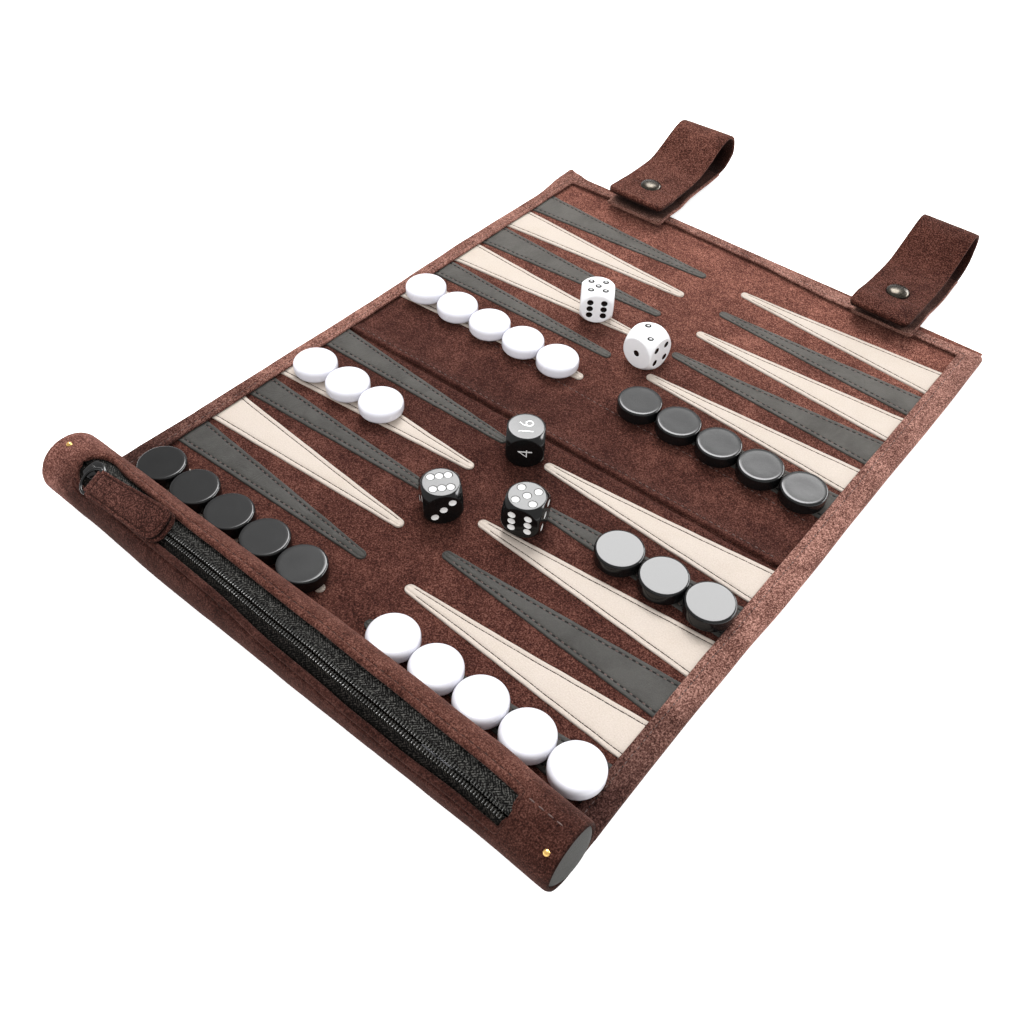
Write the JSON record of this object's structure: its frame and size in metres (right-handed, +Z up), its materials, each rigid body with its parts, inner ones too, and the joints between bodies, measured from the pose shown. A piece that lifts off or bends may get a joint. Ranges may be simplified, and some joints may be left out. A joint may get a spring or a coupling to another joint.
{
  "type": "roll-up backgammon set",
  "caption": "Roll-up suede backgammon board with stitched leather points, a zipped storage tube along one edge, snap strap loops, checkers, dice and a doubling cube.",
  "frame": {"origin": "on the flat underside of the mat, at the middle of its width and of its length between the tube and the strap edge", "axes": "+X along the storage tube towards the end with the bare leather disc, +Y from the tube towards the strap loops, +Z up out of the playing surface"},
  "size_m": [0.2212, 0.3571, 0.0264],
  "materials": {
    "suede_brown": "matte brushed suede",
    "leather_cream": "smooth satin",
    "leather_grey": "smooth satin",
    "plastic_white": "glossy",
    "plastic_black": "glossy",
    "zip_tape_black": "woven",
    "zip_coil_black": "satin",
    "slider_black": "gloss black",
    "snap_nickel": "polished nickel",
    "nail_brass": "polished"
  },
  "bodies": {
    "board": {"brass_nail_left": "nail_brass", "brass_nail_right": "nail_brass", "checker_black_14": "plastic_black", "checker_black_15": "plastic_black", "checker_white_14": "plastic_white", "checker_white_15": "plastic_white", "end_plug_left": "leather_grey", "end_plug_right": "leather_grey", "field_panel_far": "suede_brown", "field_panel_near": "suede_brown", "mat_backing": "suede_brown", "points_cream_left": "leather_cream", "points_cream_right": "leather_cream", "points_grey_left": "leather_grey", "points_grey_right": "leather_grey", "snap_stud_left": "snap_nickel", "snap_stud_right": "snap_nickel", "strap_base_left": "suede_brown", "strap_base_right": "suede_brown", "tube_cover": "suede_brown", "zip_coil": "zip_coil_black", "zip_tape_far": "zip_tape_black", "zip_tape_near": "zip_tape_black"},
    "body_checker_black_01": {"checker_black_01": "plastic_black"},
    "body_checker_black_02": {"checker_black_02": "plastic_black"},
    "body_checker_black_03": {"checker_black_03": "plastic_black"},
    "body_checker_black_04": {"checker_black_04": "plastic_black"},
    "body_checker_black_05": {"checker_black_05": "plastic_black"},
    "body_checker_black_06": {"checker_black_06": "plastic_black"},
    "body_checker_black_07": {"checker_black_07": "plastic_black"},
    "body_checker_black_08": {"checker_black_08": "plastic_black"},
    "body_checker_black_09": {"checker_black_09": "plastic_black"},
    "body_checker_black_10": {"checker_black_10": "plastic_black"},
    "body_checker_black_11": {"checker_black_11": "plastic_black"},
    "body_checker_black_12": {"checker_black_12": "plastic_black"},
    "body_checker_black_13": {"checker_black_13": "plastic_black"},
    "body_checker_white_01": {"checker_white_01": "plastic_white"},
    "body_checker_white_02": {"checker_white_02": "plastic_white"},
    "body_checker_white_03": {"checker_white_03": "plastic_white"},
    "body_checker_white_04": {"checker_white_04": "plastic_white"},
    "body_checker_white_05": {"checker_white_05": "plastic_white"},
    "body_checker_white_06": {"checker_white_06": "plastic_white"},
    "body_checker_white_07": {"checker_white_07": "plastic_white"},
    "body_checker_white_08": {"checker_white_08": "plastic_white"},
    "body_checker_white_09": {"checker_white_09": "plastic_white"},
    "body_checker_white_10": {"checker_white_10": "plastic_white"},
    "body_checker_white_11": {"checker_white_11": "plastic_white"},
    "body_checker_white_12": {"checker_white_12": "plastic_white"},
    "body_checker_white_13": {"checker_white_13": "plastic_white"},
    "body_die_black_1": {"die_black_1": "plastic_black"},
    "body_die_black_2": {"die_black_2": "plastic_black"},
    "body_die_white_1": {"die_white_1": "plastic_white"},
    "body_die_white_2": {"die_white_2": "plastic_white"},
    "body_doubling_cube": {"doubling_cube": "plastic_black"},
    "slider": {"zip_slider": "slider_black"},
    "tab": {"pull_tab": "suede_brown"},
    "flap_left": {"strap_flap_left": "suede_brown", "snap_cap_left": "snap_nickel"},
    "flap_right": {"strap_flap_right": "suede_brown", "snap_cap_right": "snap_nickel"}
  },
  "joints": [
    {"name": "zip_slide", "type": "slide", "parent": "board", "child": "slider", "axis": [0.9995, -0.0296, -0.007], "range_m": [0, 0.168]},
    {"name": "tab_hinge", "type": "hinge", "parent": "slider", "child": "tab", "pos_m": [-0.08425, -0.15664, 0.02326], "axis": [-0.0078, -0.8975, -0.441], "range_deg": [0, 100]},
    {"name": "strap_unsnap_left", "type": "hinge", "parent": "board", "child": "flap_left", "pos_m": [-0.0633, 0.193, 0.0145], "axis": [-1, 0, 0], "range_deg": [0, 150]},
    {"name": "strap_unsnap_right", "type": "hinge", "parent": "board", "child": "flap_right", "pos_m": [0.0654, 0.193, 0.0145], "axis": [-1, 0, 0], "range_deg": [0, 150]},
    {"name": "lift_checker_black_01", "type": "slide", "parent": "board", "child": "body_checker_black_01", "axis": [0, 0, 1], "range_m": [0, 0.04]},
    {"name": "lift_checker_black_02", "type": "slide", "parent": "board", "child": "body_checker_black_02", "axis": [0, 0, 1], "range_m": [0, 0.04]},
    {"name": "lift_checker_black_03", "type": "slide", "parent": "board", "child": "body_checker_black_03", "axis": [0, 0, 1], "range_m": [0, 0.04]},
    {"name": "lift_checker_black_04", "type": "slide", "parent": "board", "child": "body_checker_black_04", "axis": [0, 0, 1], "range_m": [0, 0.04]},
    {"name": "lift_checker_black_05", "type": "slide", "parent": "board", "child": "body_checker_black_05", "axis": [0, 0, 1], "range_m": [0, 0.04]},
    {"name": "lift_checker_black_06", "type": "slide", "parent": "board", "child": "body_checker_black_06", "axis": [0, 0, 1], "range_m": [0, 0.04]},
    {"name": "lift_checker_black_07", "type": "slide", "parent": "board", "child": "body_checker_black_07", "axis": [0, 0, 1], "range_m": [0, 0.04]},
    {"name": "lift_checker_black_08", "type": "slide", "parent": "board", "child": "body_checker_black_08", "axis": [0, 0, 1], "range_m": [0, 0.04]},
    {"name": "lift_checker_black_09", "type": "slide", "parent": "board", "child": "body_checker_black_09", "axis": [0, 0, 1], "range_m": [0, 0.04]},
    {"name": "lift_checker_black_10", "type": "slide", "parent": "board", "child": "body_checker_black_10", "axis": [0, 0, 1], "range_m": [0, 0.04]},
    {"name": "lift_checker_black_11", "type": "slide", "parent": "board", "child": "body_checker_black_11", "axis": [0, 0, 1], "range_m": [0, 0.04]},
    {"name": "lift_checker_black_12", "type": "slide", "parent": "board", "child": "body_checker_black_12", "axis": [0, 0, 1], "range_m": [0, 0.04]},
    {"name": "lift_checker_black_13", "type": "slide", "parent": "board", "child": "body_checker_black_13", "axis": [0, 0, 1], "range_m": [0, 0.04]},
    {"name": "lift_checker_white_01", "type": "slide", "parent": "board", "child": "body_checker_white_01", "axis": [0, 0, 1], "range_m": [0, 0.04]},
    {"name": "lift_checker_white_02", "type": "slide", "parent": "board", "child": "body_checker_white_02", "axis": [0, 0, 1], "range_m": [0, 0.04]},
    {"name": "lift_checker_white_03", "type": "slide", "parent": "board", "child": "body_checker_white_03", "axis": [0, 0, 1], "range_m": [0, 0.04]},
    {"name": "lift_checker_white_04", "type": "slide", "parent": "board", "child": "body_checker_white_04", "axis": [0, 0, 1], "range_m": [0, 0.04]},
    {"name": "lift_checker_white_05", "type": "slide", "parent": "board", "child": "body_checker_white_05", "axis": [0, 0, 1], "range_m": [0, 0.04]},
    {"name": "lift_checker_white_06", "type": "slide", "parent": "board", "child": "body_checker_white_06", "axis": [0, 0, 1], "range_m": [0, 0.04]},
    {"name": "lift_checker_white_07", "type": "slide", "parent": "board", "child": "body_checker_white_07", "axis": [0, 0, 1], "range_m": [0, 0.04]},
    {"name": "lift_checker_white_08", "type": "slide", "parent": "board", "child": "body_checker_white_08", "axis": [0, 0, 1], "range_m": [0, 0.04]},
    {"name": "lift_checker_white_09", "type": "slide", "parent": "board", "child": "body_checker_white_09", "axis": [0, 0, 1], "range_m": [0, 0.04]},
    {"name": "lift_checker_white_10", "type": "slide", "parent": "board", "child": "body_checker_white_10", "axis": [0, 0, 1], "range_m": [0, 0.04]},
    {"name": "lift_checker_white_11", "type": "slide", "parent": "board", "child": "body_checker_white_11", "axis": [0, 0, 1], "range_m": [0, 0.04]},
    {"name": "lift_checker_white_12", "type": "slide", "parent": "board", "child": "body_checker_white_12", "axis": [0, 0, 1], "range_m": [0, 0.04]},
    {"name": "lift_checker_white_13", "type": "slide", "parent": "board", "child": "body_checker_white_13", "axis": [0, 0, 1], "range_m": [0, 0.04]},
    {"name": "lift_die_black_1", "type": "slide", "parent": "board", "child": "body_die_black_1", "axis": [0, 0, 1], "range_m": [0, 0.04]},
    {"name": "lift_die_black_2", "type": "slide", "parent": "board", "child": "body_die_black_2", "axis": [0, 0, 1], "range_m": [0, 0.04]},
    {"name": "lift_die_white_1", "type": "slide", "parent": "board", "child": "body_die_white_1", "axis": [0, 0, 1], "range_m": [0, 0.04]},
    {"name": "lift_die_white_2", "type": "slide", "parent": "board", "child": "body_die_white_2", "axis": [0, 0, 1], "range_m": [0, 0.04]},
    {"name": "lift_doubling_cube", "type": "slide", "parent": "board", "child": "body_doubling_cube", "axis": [0, 0, 1], "range_m": [0, 0.04]}
  ]
}
